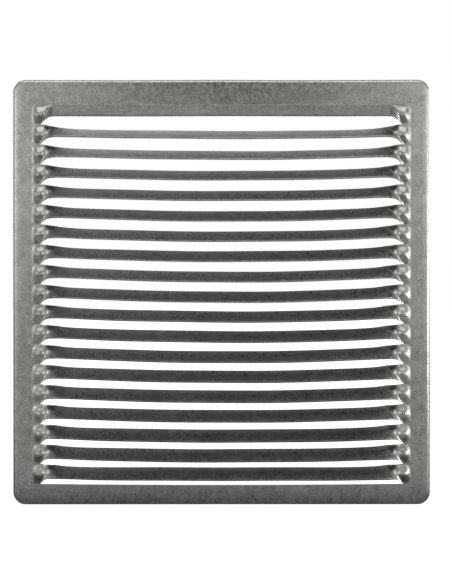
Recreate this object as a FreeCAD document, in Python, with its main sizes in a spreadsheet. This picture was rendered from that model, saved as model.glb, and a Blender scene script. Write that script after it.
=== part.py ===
"""Queen excluder: one sheet of zinc-coated steel, lanced and pressed into a row of slanting blades.

The sheet's edge is turned back all round as a stiffening rim. Parallel cuts divide the field into
strips of equal width. Each strip is twisted in place: its top edge goes back, its bottom edge comes
forward, and a form-pressed end joins it to the border. The strip above the first cut is only
hinged along its top, as a hood. The sheet is delivered as its regions, which meet face to face.

Frame, in millimetres: x across, y towards the back, z up. The origin is the middle of the bottom
edge, on the plane that the rim's back edge lies in. The front of the object looks along -y.
"""
import FreeCAD, Part
import os
import Sketcher

SHEET_VALUES = {
    "plate_width": 115.0,      # over the rim
    "plate_height": 117.2,     # over the rim
    "sheet_thickness": 0.5,
    "corner_radius": 3.4,      # outside, seen from the front
    "bend_radius": 0.9,        # outside of the rim's bend
    "rim_clearance": 0.3,      # from the blades' back edges to the rim's back plane
    "side_border": 5.25,       # outside of the rim to the start of the blades' end forms
    "top_border": 7.0,         # outside of the rim to the hood's bend
    "bottom_border": 5.7,      # outside of the rim to the last cut
    "blade_count": 18,
    "blade_tilt": 60.0,        # degrees out of the sheet's plane
    "hood_tilt": 49.0,
    "end_form": 2.1,           # uncut length of a blade's end form
    "form_rise": 0.7,          # how far the end form swells out of the sheet's plane
    "front_ramp": 2.8,         # from a cut's tip to where the front edge is fully out
    "rear_ramp": 7.5,          # from a cut's tip to where the rear edge is fully back
    "end_lift": 0.35,          # how far a blade's ends ride up as they twist
    "edge_bow": 0.3,           # sag at mid-span that every blade has
    "field_bow": 0.9,          # further sag of the blades halfway down the field
}
SECTION_POINTS = 5             # along each face of a blade's section

PITCH = "((sheet.plate_height - sheet.top_border - sheet.bottom_border) / (sheet.blade_count + 1))"
BEND_Z = "(sheet.plate_height - sheet.top_border)"
FIELD_HALF = "(sheet.plate_width / 2 - sheet.side_border)"
TIP_X = f"({FIELD_HALF} - sheet.end_form)"
HOME_X = f"({TIP_X} - sheet.rear_ramp)"
HALF_SHEET = "(sheet.sheet_thickness / 2)"
REAR_REACH = f"({PITCH} / 2 * sin(sheet.blade_tilt) + {HALF_SHEET} * cos(sheet.blade_tilt))"
MID_DEPTH = f"({REAR_REACH} + sheet.rim_clearance)"
RIM_DEPTH = f"({MID_DEPTH} + {HALF_SHEET})"

# Sections of a half blade, from mid-span to its end: how far each lies inside the cut's tip,
# and its share of the end form's swelling.
STATIONS = (
    ("middle", TIP_X, 0),
    ("inner_third", f"({TIP_X} - {HOME_X} / 3)", 0),
    ("outer_third", f"({TIP_X} - {HOME_X} * 2 / 3)", 0),
    ("rear_home", "sheet.rear_ramp", 0),
    ("between", "((sheet.front_ramp + sheet.rear_ramp) / 2)", 0),
    ("front_home", "sheet.front_ramp", 0),
    ("front_rising", "(sheet.front_ramp / 2)", 0.5),
    ("cut_tip", "0", 1),
    ("form_start", "(-sheet.end_form)", 0),
)


def make_sheet(doc):
    sheet = doc.addObject("Spreadsheet::Sheet", "sheet")
    for row, (name, value) in enumerate(SHEET_VALUES.items(), start=1):
        sheet.set(f"A{row}", name)
        sheet.set(f"B{row}", str(value))
        sheet.setAlias(f"B{row}", name)
    doc.recompute()
    return sheet


def bind(item, expressions):
    for path, expression in expressions.items():
        item.setExpression(path, expression)


def origin_plane(body, role):
    return next(f for f in body.Origin.OriginFeatures if f.Role == role)


def make_tray(doc):
    """The whole border as a shallow tray, open at the back: flat front, rounded bend, turned-back rim."""
    body = doc.addObject("PartDesign::Body", "tray")
    block = body.newObject("PartDesign::AdditiveBox", "tray_block")
    bind(block, {
        "Length": "sheet.plate_width",
        "Width": RIM_DEPTH,
        "Height": "sheet.plate_height",
        "Placement.Base.x": "-sheet.plate_width / 2",
        "Placement.Base.y": f"-{RIM_DEPTH}",
    })
    doc.recompute()
    corners = [f"Edge{i}" for i, edge in enumerate(block.Shape.Edges, start=1)
               if edge.tangentAt(edge.FirstParameter).cross(FreeCAD.Vector(0, 1, 0)).Length < 1e-6]
    rounded = body.newObject("PartDesign::Fillet", "tray_corners")
    rounded.Base = (block, corners)
    bind(rounded, {"Radius": "sheet.corner_radius"})
    doc.recompute()
    front_y = rounded.Shape.BoundBox.YMin
    front_edges = [f"Edge{i}" for i, edge in enumerate(rounded.Shape.Edges, start=1)
                   if edge.BoundBox.YMax < front_y + 1e-4]
    bend = body.newObject("PartDesign::Fillet", "tray_bend")
    bend.Base = (rounded, front_edges)
    bind(bend, {"Radius": "sheet.bend_radius"})
    doc.recompute()
    back = [f"Face{i}" for i, face in enumerate(bend.Shape.Faces, start=1)
            if face.BoundBox.YMin > -1e-4]
    skin = body.newObject("PartDesign::Thickness", "tray_skin")
    skin.Base = (bend, back)
    skin.Reversed = True
    skin.Join = "Intersection"
    bind(skin, {"Value": "sheet.sheet_thickness"})
    return body


def make_rail(doc, name, tray, limits):
    """One side of the border: the part of the tray inside a box with the given limits."""
    low_x, size_x, low_z, size_z = limits
    region = doc.addObject("Part::Box", f"{name}_region")
    bind(region, {
        "Length": size_x,
        "Width": RIM_DEPTH,
        "Height": size_z,
        "Placement.Base.x": low_x,
        "Placement.Base.y": f"-{RIM_DEPTH}",
        "Placement.Base.z": low_z,
    })
    rail = doc.addObject("Part::Common", name)
    rail.Base = tray
    rail.Tool = region
    rail.Label = name
    return rail


def edge_share(travel, ramp):
    """How far out an edge is, from 0 to 1, at a distance inside the cut's tip."""
    return f"sin(90 * min(1; max(0; {travel}) / {ramp}))"


def blade_points(travel, swell, sag):
    """Centre-line points of a blade's section from its top edge (-1) to its bottom edge (1)."""
    points = []
    for i in range(SECTION_POINTS):
        along = 2 * i / (SECTION_POINTS - 1) - 1
        ramp = "sheet.front_ramp" if along > 0 else "sheet.rear_ramp"
        lean = f"(sin(sheet.blade_tilt) * {edge_share(travel, ramp)})"
        rise = f"{swell} * sheet.form_rise * sin(180 * {along})"
        y = f"-({PITCH} / 2 * {along} * {lean} + {rise})"
        z = f"-({PITCH} / 2 * {along} * sqrt(1 - {lean}^2)) - {sag}"
        points.append((y, z, lean))
    return points


def hood_points(travel, swell):
    """Centre-line points of the hood's section from its bend (0) to its free edge (1)."""
    points = []
    for i in range(SECTION_POINTS):
        along = i / (SECTION_POINTS - 1)
        lean = f"(sin(sheet.hood_tilt) * {edge_share(travel, 'sheet.front_ramp')})"
        rise = f"{swell} * sheet.form_rise * sin(180 * {along})"
        y = f"-({PITCH} * {along} * {lean} + {rise})"
        z = f"-({PITCH} * {along} * sqrt(1 - {lean}^2))"
        points.append((y, z, lean if along else "0"))
    return points


def make_section(body, name, travel, points):
    """A closed outline half the sheet's thickness to each side of the points, across the span."""
    sketch = body.newObject("Sketcher::SketchObject", name)
    sketch.AttachmentSupport = [(origin_plane(body, "YZ_Plane"), "")]
    sketch.MapMode = "FlatFace"
    sketch.setExpression("AttachmentOffset.Base.z", f"{TIP_X} - {travel}")
    front = [(f"{y} - {HALF_SHEET} * sqrt(1 - {lean}^2)", f"{z} + {HALF_SHEET} * {lean}")
             for y, z, lean in points]
    rear = [(f"{y} + {HALF_SHEET} * sqrt(1 - {lean}^2)", f"{z} - {HALF_SHEET} * {lean}")
            for y, z, lean in points]
    outline = front + rear[::-1]
    places = [FreeCAD.Vector(*(float(body.evalExpression(value)) for value in corner), 0)
              for corner in outline]
    for i in range(len(outline)):
        sketch.addGeometry(Part.LineSegment(places[i], places[(i + 1) % len(outline)]), False)
    for i in range(len(outline)):
        sketch.addConstraint(Sketcher.Constraint("Coincident", i, 2, (i + 1) % len(outline), 1))
    for i, (across, up) in enumerate(outline):
        for kind, value, number in (("DistanceX", across, places[i].x), ("DistanceY", up, places[i].y)):
            index = sketch.addConstraint(Sketcher.Constraint(kind, -1, 1, i, 1, number))
            sketch.setExpression(f"Constraints[{index}]", value)
    return sketch


def make_strip(doc, name, height, section_points):
    """A blade or the hood: a loft through its half-span sections, mirrored about mid-span."""
    body = doc.addObject("PartDesign::Body", name)
    body.Label = name
    bind(body, {"Placement.Base.y": f"-{MID_DEPTH}", "Placement.Base.z": height})
    sketches = [make_section(body, f"{name}_{place}", travel, section_points(travel, swell))
                for place, travel, swell in STATIONS]
    half = body.newObject("PartDesign::AdditiveLoft", f"{name}_half")
    half.Profile = sketches[0]
    half.Sections = sketches[1:]
    half.Ruled = True
    doc.recompute()
    whole = body.newObject("PartDesign::Mirrored", f"{name}_whole")
    whole.Originals = [half]
    whole.MirrorPlane = (origin_plane(body, "YZ_Plane"), [""])
    body.Tip = whole
    return body


def make_blade(doc, number):
    height = f"{BEND_Z} - {PITCH} * ({number} + 0.5)"
    full_bow = f"(sheet.edge_bow + sheet.field_bow * sin(180 * {number} / (sheet.blade_count + 1)))"

    def points(travel, swell):
        bow = f"{full_bow} * max(0; 1 - (({TIP_X} - max(0; {travel})) / {HOME_X})^2)"
        lift = f"sheet.end_lift * {edge_share(travel, 'sheet.rear_ramp')}"
        return blade_points(travel, swell, f"({bow} - {lift})")

    return make_strip(doc, f"blade_{number:02d}", height, points)


def check(doc, parts):
    faults = [item.Label for item in doc.Objects if {"Invalid", "Error"} & set(item.State)]
    faults += [part.Label for part in parts if part.Shape.isNull() or not part.Shape.isValid()]
    if faults:
        raise RuntimeError(f"not built: {faults}")


def main():
    doc = FreeCAD.newDocument("queen_excluder")
    sheet = make_sheet(doc)
    tray = make_tray(doc)
    doc.recompute()
    last_cut = "sheet.bottom_border"
    field_height = f"{BEND_Z} - {last_cut}"
    full_width = ("-sheet.plate_width / 2", "sheet.plate_width")
    parts = [
        make_rail(doc, "top_rail", tray, (*full_width, BEND_Z, "sheet.top_border")),
        make_rail(doc, "bottom_rail", tray, (*full_width, "0", last_cut)),
        make_rail(doc, "left_rail", tray,
                  ("-sheet.plate_width / 2", "sheet.side_border", last_cut, field_height)),
        make_rail(doc, "right_rail", tray, (FIELD_HALF, "sheet.side_border", last_cut, field_height)),
        make_strip(doc, "top_hood", BEND_Z, hood_points),
    ]
    parts += [make_blade(doc, number) for number in range(1, int(sheet.blade_count) + 1)]
    doc.recompute()
    check(doc, parts)
    os.makedirs("parts", exist_ok=True)
    for part in parts:
        part.Shape.exportStep(f"parts/{part.Label}.step")
    print(f"{len(parts)} sub-parts, pitch {float(sheet.evalExpression(PITCH.replace('sheet.', ''))):.3f} mm")


main()
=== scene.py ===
"""Looks of the queen excluder: one pressed sheet of zinc-coated steel, finished region by region."""
import math
import random

import bpy
from bpy.props import FloatProperty, FloatVectorProperty, IntProperty, PointerProperty
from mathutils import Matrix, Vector


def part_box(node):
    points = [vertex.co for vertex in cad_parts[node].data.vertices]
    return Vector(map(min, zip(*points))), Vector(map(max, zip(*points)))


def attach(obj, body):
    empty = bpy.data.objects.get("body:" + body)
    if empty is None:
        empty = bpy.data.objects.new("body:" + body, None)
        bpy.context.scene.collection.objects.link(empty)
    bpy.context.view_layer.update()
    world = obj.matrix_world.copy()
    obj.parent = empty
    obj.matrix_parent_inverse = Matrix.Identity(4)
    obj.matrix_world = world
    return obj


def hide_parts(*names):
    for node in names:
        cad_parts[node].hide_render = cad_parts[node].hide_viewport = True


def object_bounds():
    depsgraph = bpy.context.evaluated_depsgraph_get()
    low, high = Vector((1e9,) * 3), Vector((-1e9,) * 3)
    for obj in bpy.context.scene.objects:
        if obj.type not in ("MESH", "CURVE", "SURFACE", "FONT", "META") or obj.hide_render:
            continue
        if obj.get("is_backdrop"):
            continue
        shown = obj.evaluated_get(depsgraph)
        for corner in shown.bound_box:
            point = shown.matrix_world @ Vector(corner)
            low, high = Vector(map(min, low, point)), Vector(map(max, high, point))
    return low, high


bl_info = {
    "name": "Queen Excluder",
    "version": (1, 0, 0),
    "blender": (4, 5, 0),
    "location": "View3D > Sidebar > Excluder",
    "description": "Makes a pressed sheet-metal queen excluder and its studio",
    "category": "Add Mesh",
}

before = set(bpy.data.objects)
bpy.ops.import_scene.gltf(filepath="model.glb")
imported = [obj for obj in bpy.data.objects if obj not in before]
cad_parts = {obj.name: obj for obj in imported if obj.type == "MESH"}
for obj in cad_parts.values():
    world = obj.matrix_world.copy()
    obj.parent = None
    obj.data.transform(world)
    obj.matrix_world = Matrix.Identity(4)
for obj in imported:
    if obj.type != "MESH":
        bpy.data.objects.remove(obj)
CAD_LOW, CAD_HIGH = (Vector(corner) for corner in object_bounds())
BLADE_NODES = sorted(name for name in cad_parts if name.startswith("blade_"))
RAIL_NODES = ("top_rail", "bottom_rail", "left_rail", "right_rail")
MM = 0.001

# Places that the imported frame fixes, in metres.
BEND_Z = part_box("top_rail")[0].z
LAST_CUT_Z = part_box("bottom_rail")[1].z
FIELD_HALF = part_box("right_rail")[0].x
FACE_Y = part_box("top_rail")[0].y
PITCH = (BEND_Z - LAST_CUT_Z) / (len(BLADE_NODES) + 1)
PLATE_TOP = CAD_HIGH.z
PLATE_HALF = CAD_HIGH.x


# ---------------------------------------------------------------- node building

class Wire:
    """One socket of a node tree; arithmetic on wires adds the Math nodes that do it."""

    def __init__(self, graph, socket):
        self.graph = graph
        self.socket = socket

    def _with(self, operation, *values):
        inputs = dict(enumerate(values))
        return self.graph.add("ShaderNodeMath", inputs, operation=operation)

    def __add__(self, other):
        return self._with("ADD", self, other)

    def __radd__(self, other):
        return self._with("ADD", other, self)

    def __sub__(self, other):
        return self._with("SUBTRACT", self, other)

    def __rsub__(self, other):
        return self._with("SUBTRACT", other, self)

    def __mul__(self, other):
        return self._with("MULTIPLY", self, other)

    def __rmul__(self, other):
        return self._with("MULTIPLY", other, self)

    def __truediv__(self, other):
        return self._with("DIVIDE", self, other)

    def __pow__(self, other):
        return self._with("POWER", self, other)

    def __neg__(self):
        return self._with("MULTIPLY", self, -1.0)

    def __abs__(self):
        return self._with("ABSOLUTE", self)

    def __gt__(self, other):
        return self._with("GREATER_THAN", self, other)

    def __lt__(self, other):
        return self._with("LESS_THAN", self, other)

    def sin(self):
        return self._with("SINE", self)

    def root(self):
        return self._with("SQRT", self)

    def at_least(self, other):
        return self._with("MAXIMUM", self, other)

    def at_most(self, other):
        return self._with("MINIMUM", self, other)

    def share(self, low, high):
        """0 at low, 1 at high, held at 0 and 1 beyond them."""
        places = {"Value": self, "From Min": low, "From Max": high}
        return self.graph.add("ShaderNodeMapRange", places, clamp=True)

    def smooth(self, low, high):
        """As share, but easing in and out."""
        places = {"Value": self, "From Min": low, "From Max": high}
        return self.graph.add("ShaderNodeMapRange", places, interpolation_type="SMOOTHSTEP")

    def band(self, start, full, fade, end):
        """Easing up to 1 from start to full, and back to 0 from fade to end."""
        return self.smooth(start, full) * (1.0 - self.smooth(fade, end))

    def settle(self, scale):
        """0 at 0 and below, closing in on 1 in an exponential way."""
        return 1.0 - self._with("EXPONENT", self.at_least(0.0) / scale * -1.0)


class Graph:
    """A node tree under construction."""

    def __init__(self, tree):
        self.tree = tree

    def node(self, kind, inputs=(), **settings):
        """A new node, its inputs set to values or joined to wires."""
        node = self.tree.nodes.new(kind)
        for name, value in settings.items():
            setattr(node, name, value)
        for name, value in dict(inputs).items():
            if isinstance(value, Wire):
                self.tree.links.new(value.socket, node.inputs[name])
            else:
                node.inputs[name].default_value = value
        return node

    def add(self, kind, inputs=(), output=0, **settings):
        """A new node, as the wire that leaves one of its outputs."""
        return Wire(self, self.node(kind, inputs, **settings).outputs[output])

    def split(self, vector):
        """The x, y and z of a vector."""
        node = self.node("ShaderNodeSeparateXYZ", {"Vector": vector})
        return [Wire(self, socket) for socket in node.outputs]

    def vector(self, x, y, z):
        """A vector of x, y and z."""
        return self.add("ShaderNodeCombineXYZ", {"X": x, "Y": y, "Z": z})

    def blend(self, share, first, second):
        """A colour between two colours."""
        inputs = {0: share, 6: first, 7: second}
        return self.add("ShaderNodeMix", inputs, output=2, data_type="RGBA")


# ---------------------------------------------------------------- sizes and colours

class SheetSizes(bpy.types.PropertyGroup):
    """Sizes of the pressed sheet that a user would change."""

    thickness: FloatProperty(name="Sheet", description="Thickness of the steel sheet",
                             default=0.5 * MM, unit="LENGTH")
    corner_radius: FloatProperty(name="Corner", description="Outside radius of the plate's corners",
                                 default=3.4 * MM, unit="LENGTH")
    bend_radius: FloatProperty(name="Rim bend", description="Outside radius of the rim's bend",
                               default=0.9 * MM, unit="LENGTH")
    end_form: FloatProperty(name="End form", description="Uncut length at each end of a blade",
                            default=2.1 * MM, unit="LENGTH")
    form_rise: FloatProperty(name="Form rise", description="Swelling of the end forms",
                             default=0.66 * MM, unit="LENGTH")
    form_fade: FloatProperty(name="Form fade", description="Length over which the swelling fades",
                             default=2.8 * MM, unit="LENGTH")
    front_ramp: FloatProperty(name="Front ramp", description="Scale on which a front edge comes out",
                              default=0.75 * MM, unit="LENGTH")
    rear_ramp: FloatProperty(name="Rear ramp", description="Scale on which a rear edge goes back",
                             default=2.35 * MM, unit="LENGTH")
    depth_ramp: FloatProperty(name="Depth ramp", description="Length over which a strip takes its depth",
                              default=4.4 * MM, unit="LENGTH")
    blade_tilt: FloatProperty(name="Blade tilt", description="Twist of the blades out of the sheet",
                              default=math.radians(60), subtype="ANGLE")
    hood_tilt: FloatProperty(name="Hood tilt", description="Bend of the hood out of the sheet",
                             default=math.radians(49), subtype="ANGLE")
    top_steepening: FloatProperty(name="Top steepening", description="Extra tilt of the topmost blade",
                                  default=math.radians(3.5), subtype="ANGLE")
    end_lift: FloatProperty(name="End lift", description="Mean rise of the blade ends as they twist",
                            default=0.35 * MM, unit="LENGTH")
    lift_spread: FloatProperty(name="Lift spread", description="Extra rise at the top, less below",
                               default=0.20 * MM, unit="LENGTH")
    end_rise: FloatProperty(name="End rise", description="Extra rise of the lowest front edges' ends",
                            default=0.40 * MM, unit="LENGTH")
    edge_bow: FloatProperty(name="Edge bow", description="Sag at mid-span that every blade has",
                            default=0.5 * MM, unit="LENGTH")
    field_bow: FloatProperty(name="Field bow", description="Further sag halfway down the field",
                             default=0.6 * MM, unit="LENGTH")
    bow_skew: FloatProperty(name="Bow skew", description="How far the sag leans to the right",
                            default=0.2, subtype="FACTOR")
    last_cut_bow: FloatProperty(name="Last cut bow", description="Sag of the border at the last cut",
                                default=0.3 * MM, unit="LENGTH")
    crown: FloatProperty(name="Crown", description="Rise across each blade's face",
                         default=0.045 * MM, unit="LENGTH")
    cut_edge: FloatProperty(name="Cut edge", description="Width of the worn corner along a cut",
                            default=0.06 * MM, unit="LENGTH")
    rim_wave: FloatProperty(name="Rim wave", description="Slow unevenness of the top rim",
                            default=0.12 * MM, unit="LENGTH")
    seed: IntProperty(name="Seed", description="Seed of the small differences between blades",
                      default=7)


class ZincFinish(bpy.types.PropertyGroup):
    """Colours and grain of the zinc coat."""

    light: FloatVectorProperty(name="Light zinc", description="Lighter colour of the zinc",
                               default=(0.655, 0.665, 0.62), subtype="COLOR", size=3)
    dark: FloatVectorProperty(name="Dark zinc", description="Darker colour of the zinc",
                              default=(0.33, 0.335, 0.305), subtype="COLOR", size=3)
    stain: FloatVectorProperty(name="Stain", description="Brownish handling stain",
                               default=(0.34, 0.29, 0.24), subtype="COLOR", size=3)
    roughness: FloatProperty(name="Roughness", description="Mean roughness of the zinc",
                             default=0.30, subtype="FACTOR")


# ---------------------------------------------------------------- material

# The most speckled part of the top border, and the handling stain on it.
SPECKLED_X = 4 * MM
SPECKLED_HALF = 42 * MM
SPECKLED_REACH = 4 * MM
STAIN_X = 23 * MM
STAIN_DROP = 4.5 * MM
STAIN_HALF_WIDTH = 9 * MM
STAIN_HALF_HEIGHT = 2.4 * MM
SPECK_DARKNESS = 0.45
# How much lighter the scratches are, and the rubbed rim with its painted highlight.
RUBBED_AND_SHEEN_BRIGHTNESS = 1.45
SCRATCH_TURN = 0.62
BUMP_DEPTH = 0.03 * MM


def zinc_material(finish):
    """Dull zinc on steel: fine mottling, dark specks, faint rolling lines, scratches, a rubbed rim with
    a painted highlight, strongest at the top.
    """
    material = bpy.data.materials.new("zinc_coated_steel")
    material.use_nodes = True
    material.node_tree.nodes.clear()
    g = Graph(material.node_tree)
    place = g.add("ShaderNodeTexCoord", output="Object")
    x, y, z = g.split(place)

    def noise(scale, detail=2.0, stretch=(1.0, 1.0, 1.0), rough=0.5):
        """Noise in the object's own space, with values around 0.5."""
        spread = g.add("ShaderNodeMapping", {"Vector": place, "Scale": stretch})
        return g.add("ShaderNodeTexNoise",
                     {"Vector": spread, "Scale": scale, "Detail": detail, "Roughness": rough})

    grain = noise(2600.0, 3.0, rough=0.65)
    mottle = noise(620.0, 4.0, rough=0.6)
    cloud = noise(70.0, 3.0)
    rolling = noise(900.0, 2.0, stretch=(0.12, 1.0, 1.0))
    pits = noise(1500.0, 2.0)
    spangle = g.add("ShaderNodeTexVoronoi", {"Vector": place, "Scale": 640.0}, output="Color")
    spangle_tone = g.split(spangle)[0]

    off_middle = (abs(x - SPECKLED_X) / SPECKLED_HALF).at_most(1.0)
    top_middle = (1.0 - off_middle) * z.smooth(BEND_Z - SPECKLED_REACH, PLATE_TOP)
    speck = pits.smooth(0.60, 0.70) * (0.25 + top_middle)
    tone = 0.54 * grain + 0.16 * mottle + 0.14 * cloud + 0.08 * rolling + 0.08 * spangle_tone
    colour = g.blend(tone.smooth(0.33, 0.69), (*finish.dark, 1), (*finish.light, 1))
    dark_speck = tuple(SPECK_DARKNESS * value for value in finish.dark)
    blotch = noise(950.0, 3.0, rough=0.7)
    colour = g.blend(top_middle * 0.75 * blotch.smooth(0.44, 0.60), colour, (*dark_speck, 1))
    colour = g.blend((speck * 0.8).at_most(1.0), colour, (*dark_speck, 1))

    reach_x = (x - STAIN_X) / STAIN_HALF_WIDTH
    reach_z = (z - (PLATE_TOP - STAIN_DROP)) / STAIN_HALF_HEIGHT
    from_middle = (reach_x * reach_x + reach_z * reach_z).root()
    stain = (1.0 - from_middle).at_least(0.0) * mottle.smooth(0.35, 0.6)
    colour = g.blend(stain * 0.7, colour, (*finish.stain, 1))

    # Lighter along the outer edge: rubbed wear with painted sheen all round, and a painted highlight
    # along the top rim.
    edge = (PLATE_HALF - abs(x)).at_most(z).at_most(PLATE_TOP - z)
    rubbed_and_sheen = (1.0 - edge.smooth(0.3 * MM, 1.3 * MM)) * grain.smooth(0.30, 0.55)
    bright = tuple(min(1.0, RUBBED_AND_SHEEN_BRIGHTNESS * value) for value in finish.light)
    top_rim_highlight = z.smooth(PLATE_TOP - 1.0 * MM, PLATE_TOP - 0.2 * MM)
    colour = g.blend(rubbed_and_sheen * (0.3 + 0.6 * top_rim_highlight), colour, (*bright, 1))

    turned = g.add("ShaderNodeMapping", {"Vector": place, "Rotation": (0.0, SCRATCH_TURN, 0.0)})
    scratch_lines = g.add("ShaderNodeTexWave", {
        "Vector": turned, "Scale": 55.0, "Distortion": 2.5, "Detail": 2.0, "Detail Scale": 1.2,
    }, bands_direction="X")
    scratch = scratch_lines.smooth(0.985, 1.0) * noise(160.0, 1.0).smooth(0.56, 0.66)
    colour = g.blend(scratch * 0.18, colour, (*bright, 1))

    roughness = (finish.roughness + (mottle - 0.5) * 0.16 + (grain - 0.5) * 0.14
                 + speck * 0.15 - rubbed_and_sheen * 0.06 - scratch * 0.08)
    height = grain * 0.5 + mottle * 0.4 + rolling * 0.3 - speck * 0.5 - scratch * 0.3
    bump = g.add("ShaderNodeBump", {"Height": height, "Strength": 0.16, "Distance": BUMP_DEPTH})
    surface = g.add("ShaderNodeBsdfPrincipled", {
        "Base Color": colour, "Metallic": 1.0, "Roughness": roughness, "Normal": bump})
    g.node("ShaderNodeOutputMaterial", {"Surface": surface})
    return material


# ---------------------------------------------------------------- shared mesh steps

SHARP_ANGLE = math.radians(35)


def finish_mesh(piece, node):
    """Splits the shading at true corners and hands the piece to the frame."""
    piece.data.shade_smooth()
    piece.data.set_sharp_from_angle(angle=SHARP_ANGLE)
    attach(piece, "root")
    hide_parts(node)


def applied(piece):
    """Replaces a piece's mesh with what its modifiers make of it."""
    graph = bpy.context.evaluated_depsgraph_get()
    mesh = bpy.data.meshes.new_from_object(piece.evaluated_get(graph))
    piece.modifiers.clear()
    piece.data = mesh
    mesh.name = piece.name


# ---------------------------------------------------------------- blades and hood

BLANK_ALONG = 281
BLANK_ACROSS = 25
BLANK_THROUGH = 4
STRIP_INPUTS = (
    "Half Span", "Tip", "Pitch", "Sheet", "Tilt", "Front Ramp", "Rear Ramp", "Depth Ramp",
    "End Form", "Form Rise", "Form Fade", "Bow", "Bow Skew", "Lift", "End Rise", "Crown",
    "Cut Edge", "Depth", "Height", "Phase",
)

EDGE_ROW = 0.999                # of the way across the bar; only its outermost points lie beyond
FACE_ROW = 0.9                  # of the way through the bar; only the points on its faces lie beyond
EVEN_SHARE = 0.35               # how evenly a bar's points are spaced; at 0 they crowd most to its ends
CUT_FADE = 0.5 * MM             # from a cut's tip to where its corner is fully worn
UNCUT_WEAR = 0.02               # what is left of the worn corner where there is no cut
SWELL_SHARE = 0.85              # of an end form over which its swelling rises
DEPTH_START = 0.15              # in depth ramps from a cut's tip
DEPTH_END = 1.05
LIP = 0.22                      # how far the front edge rolls forward near a tip, in half pitches
SAG_RAMPS = 2.0                 # rear ramps from a cut's tip to where the sag starts
END_RISE_REACH = 5.5 * MM       # from a cut's tip to where the extra rise is greatest
RIGHT_LOSS = 0.8                # how much of the extra rise the right-hand ends lack
RIPPLE = 0.03 * MM
LONG_RIPPLE = 83.0              # radians for each metre
SHORT_RIPPLE = 190.0
HOOD_RIPPLE = 120.0
HOOD_CURVE = 0.08               # hollow of the hood's face; a quarter of it is the depth, in pitches
HOOD_BEND = 0.09                # width of the hood's bend at mid-span, in shares of its width
HOOD_BEND_SPREAD = 0.62         # how much wider the bend is at the ends
HOOD_PHASE = 1.3
LAST_BLADE_BOW = 0.6            # sag of the last blade, in sags of the last cut
STEEP_BLADES = 2                # over which the extra tilt at the top fades
TILT_SCATTER = 0.4              # degrees
BOW_SCATTER = 0.05              # millimetres


def strip_blank(g, value):
    """A flat bar of sheet with worn corners along its cut edges, as places within the bar.

    Returns the bar and, for its points: place along x, distance inside the cut's tip, place
    across from the top edge (-1) to the bottom edge (1), and place through the sheet (-1 to 1).
    """
    bar = g.add("GeometryNodeMeshCube", {"Size": (1.0, 1.0, 1.0), "Vertices X": BLANK_ALONG,
                                         "Vertices Y": BLANK_THROUGH, "Vertices Z": BLANK_ACROSS})
    along, through, up = (2.0 * wire for wire in g.split(g.add("GeometryNodeInputPosition")))
    crowded = (along * (math.pi / 2)).sin()
    x = value["Half Span"] * (EVEN_SHARE * along + (1 - EVEN_SHARE) * crowded)
    travel = value["Tip"] - abs(x)
    across = -up
    cut = travel.smooth(0.0, CUT_FADE)
    worn = value["Cut Edge"] * (UNCUT_WEAR + (1 - UNCUT_WEAR) * cut)
    edge = abs(across) > EDGE_ROW
    corner = edge * (abs(through) > FACE_ROW)
    inner = edge * (abs(through) < FACE_ROW)
    across = across * (1.0 - corner * worn / (value["Pitch"] / 2))
    side = (through > 0.0) * 2.0 - 1.0
    shoulder = side * (1.0 - worn / (value["Sheet"] / 2))
    through = through * (1.0 - inner) + shoulder * inner
    return bar, x, travel, across, through


def end_swell(value, travel, down):
    """How far a strip's end swells out: rising through the end form, fading beyond the cut's tip."""
    entering = (travel + value["End Form"]).smooth(0.0, SWELL_SHARE * value["End Form"])
    leaving = 1.0 - travel.smooth(0.0, value["Form Fade"])
    across_form = (down * math.pi).sin()
    return entering * leaving * across_form * across_form * value["Form Rise"]


def depth_share(value, travel):
    """How much of its full depth a strip has reached at each place along it."""
    return travel.smooth(DEPTH_START * value["Depth Ramp"], DEPTH_END * value["Depth Ramp"])


def blade_form(value, x, travel, across, through):
    """Twists the bar: top edge back, bottom edge forward, both ends swelling into the border.

    Returns how far back (y) and how far up (z) each point goes from the middle of the blade.
    """
    half = value["Pitch"] / 2
    down = (across + 1.0) / 2
    sine = value["Tilt"].sin()
    front_share = travel.settle(value["Front Ramp"])
    front = sine * front_share
    rear_share = travel.settle(value["Rear Ramp"])
    rear = sine * rear_share
    front_up = (1.0 - front * front).root()
    rear_up = (1.0 - rear * rear).root()
    depth = depth_share(value, travel)
    lean = sine * depth
    lip = LIP * half * sine * (front_share - depth) * down ** 3.0
    upright = (1.0 - lean * lean).root()
    crown = value["Crown"] * (1.0 - across * across) * rear_share
    offset = through * (value["Sheet"] / 2) - crown
    home = value["Tip"] - SAG_RAMPS * value["Rear Ramp"]
    inside = (1.0 - (x / home) * (x / home)).at_least(0.0)
    sag = value["Bow"] * inside * (1.0 + value["Bow Skew"] * x / home) - value["Lift"] * rear_share
    near_tip = travel.at_least(0.0) / END_RISE_REACH * (1.0 - travel.settle(END_RISE_REACH))
    on_side = 1.0 - RIGHT_LOSS * (x > 0.0)
    sag = sag - value["End Rise"] * math.e * near_tip * down * on_side
    waves = (x * SHORT_RIPPLE + value["Phase"]).sin() + (x * LONG_RIPPLE - value["Phase"]).sin()
    ripple = RIPPLE * waves * rear_share
    y = -(half * across * lean) - lip - end_swell(value, travel, down) + offset * upright
    z = half * (rear_up - (rear_up + front_up) * down) - offset * lean - sag + ripple
    return y, z


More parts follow.
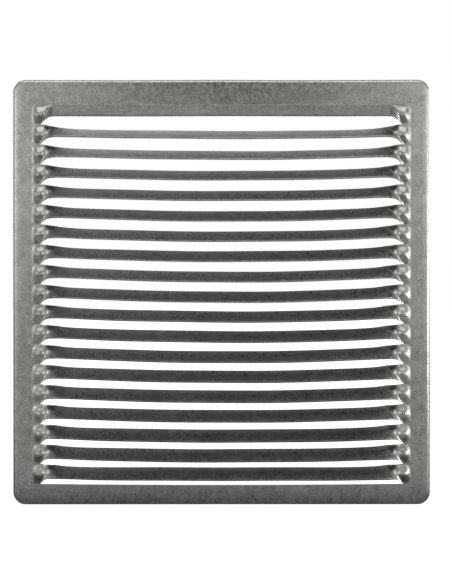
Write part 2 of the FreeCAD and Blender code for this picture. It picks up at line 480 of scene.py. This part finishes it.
def hood_form(value, x, travel, across, through):
    """Bends the bar out along its top edge, ever more gently towards the ends.

    Returns how far back (y) and how far up (z) each point goes from the hood's top edge.
    """
    down = (across + 1.0) / 2
    near_end = 1.0 - travel.share(0.0, value["Form Fade"])
    bend = HOOD_BEND + HOOD_BEND_SPREAD * near_end * near_end
    curl = down.at_most(bend)
    run = (curl * curl / (2.0 * bend) + (down - bend).at_least(0.0)) / (1.0 - bend / 2)
    run = run - HOOD_CURVE * down * (1.0 - down)
    sine = value["Tilt"].sin()
    rise = sine * travel.settle(value["Front Ramp"])
    depth = sine * depth_share(value, travel)
    lean = depth * (down / bend).at_most(1.0)
    upright = (1.0 - lean * lean).root()
    offset = through * (value["Sheet"] / 2)
    wave = (x * HOOD_RIPPLE + value["Phase"]).sin()
    ripple = RIPPLE * wave * down * travel.settle(value["Rear Ramp"])
    y = -(value["Pitch"] * run * depth) - end_swell(value, travel, down) + offset * upright
    z = -(value["Pitch"] * down * (1.0 - rise * rise).root()) - offset * lean + ripple
    return y, z


def strip_tree(name, form, material):
    """Geometry nodes that press one strip of the sheet into its shape."""
    tree = bpy.data.node_groups.new(name, "GeometryNodeTree")
    tree.interface.new_socket(name="Geometry", in_out="OUTPUT", socket_type="NodeSocketGeometry")
    for label in STRIP_INPUTS:
        tree.interface.new_socket(name=label, in_out="INPUT", socket_type="NodeSocketFloat")
    g = Graph(tree)
    entry = g.node("NodeGroupInput")
    value = {label: Wire(g, entry.outputs[label]) for label in STRIP_INPUTS}
    bar, x, travel, across, through = strip_blank(g, value)
    y, z = form(value, x, travel, across, through)
    formed = g.add("GeometryNodeSetPosition", {
        "Geometry": bar, "Position": g.vector(x, value["Depth"] + y, value["Height"] + z)})
    real = g.add("GeometryNodeRealizeInstances", {"Geometry": formed})
    coated = g.add("GeometryNodeSetMaterial", {"Geometry": real, "Material": material})
    g.node("NodeGroupOutput", {"Geometry": coated})
    return tree


def strip_piece(name, tree, values):
    """Presses one strip with the given values and keeps the mesh that comes out."""
    piece = bpy.data.objects.new(name, bpy.data.meshes.new(name))
    bpy.context.scene.collection.objects.link(piece)
    press = piece.modifiers.new("press", "NODES")
    press.node_group = tree
    for item in tree.interface.items_tree:
        if item.in_out == "INPUT":
            press[item.identifier] = float(values[item.name])
    applied(piece)
    return piece


def strip_values(sizes):
    """What the hood and every blade have in common."""
    return {
        "Half Span": FIELD_HALF,
        "Tip": FIELD_HALF - sizes.end_form,
        "Pitch": PITCH,
        "Sheet": sizes.thickness,
        "Front Ramp": sizes.front_ramp,
        "Rear Ramp": sizes.rear_ramp,
        "Depth Ramp": sizes.depth_ramp,
        "End Form": sizes.end_form,
        "Form Rise": sizes.form_rise,
        "Form Fade": sizes.form_fade,
        "Bow Skew": sizes.bow_skew,
        "Crown": sizes.crown,
        "Cut Edge": sizes.cut_edge,
        "Depth": FACE_Y + sizes.thickness / 2,
    }


class EXCLUDER_OT_blades(bpy.types.Operator):
    """Makes the twisted blades, each with its own small differences"""
    bl_idname = "excluder.blades"
    bl_label = "Blades"

    def execute(self, context):
        sizes = context.scene.excluder_sizes
        tree = strip_tree("blade_press", blade_form, context.scene.excluder_material)
        chance = random.Random(sizes.seed)
        last = len(BLADE_NODES)
        for number, node in enumerate(BLADE_NODES, start=1):
            down_field = number / (last + 1)
            bow = sizes.edge_bow + sizes.field_bow * math.sin(math.pi * down_field)
            if number == last:
                bow = LAST_BLADE_BOW * sizes.last_cut_bow
            steeper = sizes.top_steepening * max(0.0, 1 - (number - 1) / STEEP_BLADES)
            tilt = sizes.blade_tilt + steeper + math.radians(chance.gauss(0, TILT_SCATTER))
            piece = strip_piece(f"{node}_pressed", tree, {
                **strip_values(sizes),
                "Tilt": tilt,
                "Bow": bow + chance.gauss(0, BOW_SCATTER) * MM,
                "Lift": sizes.end_lift + sizes.lift_spread * math.cos(math.pi * down_field),
                "End Rise": sizes.end_rise * down_field,
                "Height": BEND_Z - PITCH * (number + 0.5),
                "Phase": chance.uniform(0, 2 * math.pi),
            })
            finish_mesh(piece, node)
        return {"FINISHED"}


class EXCLUDER_OT_hood(bpy.types.Operator):
    """Makes the hood over the first opening"""
    bl_idname = "excluder.hood"
    bl_label = "Hood"

    def execute(self, context):
        sizes = context.scene.excluder_sizes
        tree = strip_tree("hood_press", hood_form, context.scene.excluder_material)
        piece = strip_piece("top_hood_pressed", tree, {
            **strip_values(sizes),
            "Tilt": sizes.hood_tilt,
            "Bow": 0.0,
            "Lift": 0.0,
            "End Rise": 0.0,
            "Height": BEND_Z,
            "Phase": HOOD_PHASE,
        })
        finish_mesh(piece, "top_hood")
        return {"FINISHED"}


# ---------------------------------------------------------------- border

CORNER_STEPS = 14
BEND_STEPS = 9
FLANGE_STEPS = 3
EDGE_STEP = 1.5 * MM
NEAR = 1e-7                     # metres; heights closer than this count as the same
STEPS_PER_METRE = 1e7           # points that round to the same step are joined
CUT_SAG_REACH = 2 * MM          # how far below the last cut its sag is felt
RIM_WAVE_REACH = 3 * MM         # how far below the top rim its wave is felt
SLOW_RIM_WAVE = 75.0            # radians for each metre
QUICK_RIM_WAVE = 161.0


def stretch(low, high):
    """Evenly spaced places from low up to but not including high."""
    count = max(1, round((high - low) / EDGE_STEP))
    return [low + (high - low) * i / count for i in range(count)]


def side_heights(bottom, top):
    """Heights up a side of the border, with the last cut and the hood's bend among them."""
    return stretch(bottom, LAST_CUT_Z) + stretch(LAST_CUT_Z, BEND_Z) + stretch(BEND_Z, top)


def outline_stations(radius):
    """Stations round the plate, clockwise from the front, each as a centre and an outward angle.

    On a straight side the centre lies on the inset rectangle beside the outline; round a corner it
    is the corner's own centre. The outline lies one corner radius out from every centre.
    """
    left, right = -PLATE_HALF + radius, PLATE_HALF - radius
    bottom, top = radius, PLATE_TOP - radius
    sides_z = side_heights(bottom, top)
    stations = []
    corners = (((left, top), 180), ((right, top), 90), ((right, bottom), 0), ((left, bottom), -90))
    sides = (
        [((x, top), 90) for x in stretch(left, right)],
        [((right, z), 0) for z in sides_z[:0:-1]],
        [((-x, bottom), -90) for x in stretch(left, right)],
        [((left, z), 180) for z in sides_z],
    )
    for ((x, z), start), side in zip(corners, sides):
        for step in range(CORNER_STEPS):
            stations.append(((x, z), start - 90 * step / CORNER_STEPS))
        stations += side
    return stations


def rim_profile(sizes):
    """Places inwards from the outline and back from the face: flange, bend, then the flat face."""
    bend = sizes.bend_radius
    depth = -FACE_Y
    profile = [(0.0, depth - (depth - bend) * i / FLANGE_STEPS) for i in range(FLANGE_STEPS)]
    for step in range(BEND_STEPS + 1):
        turn = math.radians(90 * step / BEND_STEPS)
        profile.append((bend * (1 - math.cos(turn)), bend * (1 - math.sin(turn))))
    return profile


def border_faces(sizes):
    """The border's front skin as four-sided faces, each a list of four points (x, y, z)."""
    radius = sizes.corner_radius
    profile = rim_profile(sizes)
    middle = (profile[-1][0] + radius) / 2
    profile += [(middle, 0.0), (radius, 0.0)]

    def skin(station, inward, back):
        (cx, cz), way = station
        angle = math.radians(way)
        out = radius - inward
        x = cx + out * math.cos(angle)
        z = cz + out * math.sin(angle)
        return x, FACE_Y + back, z

    stations = outline_stations(radius)
    faces = []
    for i, here in enumerate(stations):
        ahead = stations[(i + 1) % len(stations)]
        for inner, outer in zip(profile[1:], profile[:-1]):
            faces.append([skin(here, *inner), skin(ahead, *inner),
                          skin(ahead, *outer), skin(here, *outer)])
    return faces


def flat_faces(columns, rows):
    """A flat grid of faces at the sheet's front."""
    faces = []
    for left, right in zip(columns, columns[1:]):
        for low, high in zip(rows, rows[1:]):
            faces.append([(left, FACE_Y, low), (right, FACE_Y, low),
                          (right, FACE_Y, high), (left, FACE_Y, high)])
    return faces


def inner_faces(sizes):
    """The flat strips between the inset rectangle and the field."""
    radius = sizes.corner_radius
    inset = PLATE_HALF - radius
    top, bottom = PLATE_TOP - radius, radius
    across = stretch(-inset, inset) + [inset]
    heights = side_heights(bottom, top) + [top]
    side_rows = [z for z in heights if LAST_CUT_Z - NEAR <= z <= BEND_Z + NEAR]
    faces = flat_faces(across, [z for z in heights if z >= BEND_Z - NEAR])
    faces += flat_faces(across, [z for z in heights if z <= LAST_CUT_Z + NEAR])
    faces += flat_faces([-inset, -FIELD_HALF], side_rows)
    faces += flat_faces([FIELD_HALF, inset], side_rows)
    return faces


def region_of(face):
    """Which node's region a face of the border lies in."""
    x = sum(point[0] for point in face) / 4
    z = sum(point[2] for point in face) / 4
    if z > BEND_Z:
        return "top_rail"
    if z < LAST_CUT_Z:
        return "bottom_rail"
    return "right_rail" if x > 0 else "left_rail"


def settled(point, sizes):
    """Moves a point as the pressing left it: the last cut's edge sags, the top rim waves."""
    x, y, z = point
    tip = FIELD_HALF - sizes.end_form
    near_cut = max(0.0, 1 - (LAST_CUT_Z - z) / CUT_SAG_REACH) if z <= LAST_CUT_Z + NEAR else 0.0
    sag = sizes.last_cut_bow * max(0.0, 1 - (x / tip) ** 2) * near_cut
    near_rim = max(0.0, 1 - (PLATE_TOP - z) / RIM_WAVE_REACH)
    wave = 0.5 - 0.3 * math.cos(SLOW_RIM_WAVE * x + 0.5) - 0.2 * math.cos(QUICK_RIM_WAVE * x)
    return x, y, z - sag - sizes.rim_wave * wave * near_rim * max(0.0, 1 - (x / tip) ** 6)


def rail_piece(node, faces, sizes, material):
    """One side of the border: its skin, joined at shared points and thickened backwards."""
    points = []
    index = {}
    polygons = []
    for face in faces:
        corners = []
        for point in face:
            key = tuple(round(value * STEPS_PER_METRE) for value in point)
            if key not in index:
                index[key] = len(points)
                points.append(settled(point, sizes))
            if index[key] not in corners:
                corners.append(index[key])
        if len(corners) > 2:
            polygons.append(corners)
    mesh = bpy.data.meshes.new(node)
    mesh.from_pydata(points, [], polygons)
    mesh.materials.append(material)
    piece = bpy.data.objects.new(f"{node}_pressed", mesh)
    bpy.context.scene.collection.objects.link(piece)
    wall = piece.modifiers.new("wall", "SOLIDIFY")
    wall.thickness = sizes.thickness
    wall.offset = -1.0
    wall.use_even_offset = True
    applied(piece)
    return piece


class EXCLUDER_OT_border(bpy.types.Operator):
    """Makes the four sides of the border with their turned-back rim"""
    bl_idname = "excluder.border"
    bl_label = "Border"

    def execute(self, context):
        sizes = context.scene.excluder_sizes
        faces = border_faces(sizes) + inner_faces(sizes)
        for node in RAIL_NODES:
            mine = [face for face in faces if region_of(face) == node]
            piece = rail_piece(node, mine, sizes, context.scene.excluder_material)
            finish_mesh(piece, node)
        return {"FINISHED"}


# ---------------------------------------------------------------- studio

CAMERA_DISTANCE = 328 * MM
CAMERA_RIGHT = 1.25 * MM
CAMERA_LENS = 73.4
CAMERA_ROLL = math.radians(0.03)
FLOOR_HALF = 4.0
# Painted light and shade on the floor, seen only by the metal: painted shade darkens it in front of,
# under and behind the plate.
FLOOR_GREYS = (                 # along y: where each grey starts, where it is full, and the grey
    (-220 * MM, -110 * MM, 0.60),
    (-48 * MM, -12 * MM, 0.12),
    (-7 * MM, -5 * MM, 0.30),
    (-3 * MM, -2 * MM, 0.06),
)


def studio_floor():
    """A wide floor, white to the eye; the metal sees it in bands of painted light and shade that darken
    close to it.
    """
    mesh = bpy.data.meshes.new("floor")
    corners = [(x * FLOOR_HALF, y * FLOOR_HALF, 0) for x, y in ((-1, -1), (1, -1), (1, 1), (-1, 1))]
    mesh.from_pydata(corners, [], [(0, 1, 2, 3)])
    floor = bpy.data.objects.new("floor", mesh)
    bpy.context.scene.collection.objects.link(floor)
    material = bpy.data.materials.new("pale_floor")
    material.use_nodes = True
    material.node_tree.nodes.clear()
    g = Graph(material.node_tree)
    aside, depth, _ = g.split(g.add("ShaderNodeTexCoord", output="Object"))
    seen = g.add("ShaderNodeLightPath", output="Is Camera Ray")
    # Painted light and shade that only the metal sees: far out, darker in the middle and lighter to the
    # sides.
    off_line = abs(aside).smooth(150 * MM, 300 * MM)
    grey = g.blend(off_line, (0.20, 0.20, 0.20, 1), (0.5, 0.5, 0.5, 1))
    # Bands along y: a lighter painted band further out, painted shade close to the plate.
    for start, full, level in FLOOR_GREYS:
        grey = g.blend(depth.smooth(start, full), grey, (level, level, level, 1))
    dull = g.add("ShaderNodeBsdfDiffuse", {"Color": grey})
    pale = g.add("ShaderNodeBsdfDiffuse", {"Color": (0.8, 0.8, 0.8, 1)})
    glow = g.add("ShaderNodeEmission", {"Color": (1, 1, 1, 1), "Strength": 0.75})
    white = g.add("ShaderNodeAddShader", {0: pale, 1: glow})
    surface = g.add("ShaderNodeMixShader", {0: seen, 1: dull, 2: white})
    g.node("ShaderNodeOutputMaterial", {"Surface": surface})
    mesh.materials.append(material)
    floor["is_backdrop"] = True


def studio_world():
    """A soft room, drawn by direction: lights above and beside the viewer, a grey ceiling behind."""
    world = bpy.data.worlds.new("studio")
    bpy.context.scene.world = world
    world.use_nodes = True
    world.node_tree.nodes.clear()
    g = Graph(world.node_tree)
    x, y, z = g.split(g.add("ShaderNodeTexCoord", output="Generated"))
    behind = y.smooth(-0.12, 0.10)
    ahead = 1.0 - behind
    low_level = 0.92 - 0.14 * x.smooth(0.0, 0.1) + 0.20 * (-x).smooth(0.0, 0.2)
    low_band = z.band(0.40, 0.56, 0.64, 0.82) * low_level
    left_patch = (-x).smooth(-0.02, 0.12) * z.band(0.74, 0.82, 0.885, 0.93) * 0.15
    high_band = z.smooth(0.930, 0.965) * (0.54 - 0.14 * z.smooth(0.97, 1.0))
    rear_right = x.smooth(0.10, 0.40) * (1.0 - abs(z).smooth(0.2, 0.4))
    rear_wall = (1.0 - z.smooth(0.15, 0.35)) * (0.15 + 0.60 * x.smooth(-0.22, -0.12))
    ceiling = behind * (low_band + left_patch + high_band + rear_right + rear_wall)
    bank = z.smooth(0.42, 0.72) * (1.0 - abs(x).smooth(0.35, 0.6)) * 0.50
    softbox = z.band(0.50, 0.64, 0.78, 0.90) * (1.0 - abs(x).smooth(0.25, 0.5)) * 1.15
    sides = abs(x).smooth(0.35, 0.80) * z.smooth(-0.10, 0.20) * 0.30
    wall = ahead * (0.03 + 0.05 * z.smooth(-0.25, 0.35))
    left = (-x).smooth(0.06, 0.36) * (2.25 - 1.75 * (-x).smooth(0.42, 0.70))
    right = x.smooth(0.06, 0.38) * (2.50 - 1.90 * x.smooth(0.42, 0.70))
    upright = (0.10 + 0.90 * z.smooth(-0.25, 0.15)) * (1.0 - z.smooth(0.10, 0.46))
    panels = (left + right) * ahead * upright
    light = 0.005 + ceiling + (bank + softbox) * ahead + wall + panels + sides
    seen = g.add("ShaderNodeLightPath", output="Is Camera Ray")
    level = light * (1.0 - seen) + seen
    tint = g.blend(z.smooth(0.3, 0.9) * (1.0 - seen), (1, 1, 1, 1), (0.97, 0.985, 1.04, 1))
    output = g.add("ShaderNodeBackground", {"Color": tint, "Strength": level})
    g.node("ShaderNodeOutputWorld", {"Surface": output})


def soft_light(name, place, size, power):
    """A square soft light that faces the middle of the plate."""
    light = bpy.data.lights.new(name, "AREA")
    light.shape = "SQUARE"
    light.size = size
    light.energy = power
    lamp = bpy.data.objects.new(name, light)
    bpy.context.scene.collection.objects.link(lamp)
    middle = (CAD_LOW + CAD_HIGH) / 2
    lamp.location = Vector(place)
    lamp.rotation_euler = (middle - lamp.location).to_track_quat("-Z", "Y").to_euler()
    lamp.visible_camera = False


class EXCLUDER_OT_studio(bpy.types.Operator):
    """Makes the floor, the soft studio light and the camera"""
    bl_idname = "excluder.studio"
    bl_label = "Studio"

    def execute(self, context):
        studio_floor()
        studio_world()
        soft_light("key_right", place=(0.55, -0.38, 0.04), size=0.12, power=0.8)
        camera = bpy.data.cameras.new("camera")
        camera.sensor_width = 36.0
        camera.lens = CAMERA_LENS
        camera.clip_start = 0.01
        viewer = bpy.data.objects.new("camera", camera)
        context.scene.collection.objects.link(viewer)
        viewer.location = (CAMERA_RIGHT, FACE_Y - CAMERA_DISTANCE, (CAD_LOW.z + CAD_HIGH.z) / 2)
        viewer.rotation_euler = (math.pi / 2, CAMERA_ROLL, 0)
        context.scene.camera = viewer
        context.scene.view_settings.view_transform = "Standard"
        return {"FINISHED"}


# ---------------------------------------------------------------- add-on

OPERATORS = (EXCLUDER_OT_border, EXCLUDER_OT_hood, EXCLUDER_OT_blades, EXCLUDER_OT_studio)


class EXCLUDER_PT_panel(bpy.types.Panel):
    """Lists the excluder's pieces and their sizes"""
    bl_label = "Queen Excluder"
    bl_space_type = "VIEW_3D"
    bl_region_type = "UI"
    bl_category = "Excluder"

    def draw(self, context):
        for group in (context.scene.excluder_sizes, context.scene.excluder_finish):
            for name in group.bl_rna.properties.keys():
                if name not in ("rna_type", "name"):
                    self.layout.prop(group, name)
        for operator in OPERATORS:
            self.layout.operator(operator.bl_idname)


CLASSES = (SheetSizes, ZincFinish, *OPERATORS, EXCLUDER_PT_panel)


def register():
    for item in CLASSES:
        bpy.utils.register_class(item)
    bpy.types.Scene.excluder_sizes = PointerProperty(type=SheetSizes)
    bpy.types.Scene.excluder_finish = PointerProperty(type=ZincFinish)
    bpy.types.Scene.excluder_material = PointerProperty(type=bpy.types.Material)


def unregister():
    for name in ("excluder_sizes", "excluder_finish", "excluder_material"):
        delattr(bpy.types.Scene, name)
    for item in reversed(CLASSES):
        bpy.utils.unregister_class(item)


def main():
    register()
    scene = bpy.context.scene
    scene.excluder_material = zinc_material(scene.excluder_finish)
    bpy.ops.excluder.border()
    bpy.ops.excluder.hood()
    bpy.ops.excluder.blades()
    bpy.ops.excluder.studio()


if __name__ == "__main__":
    main()
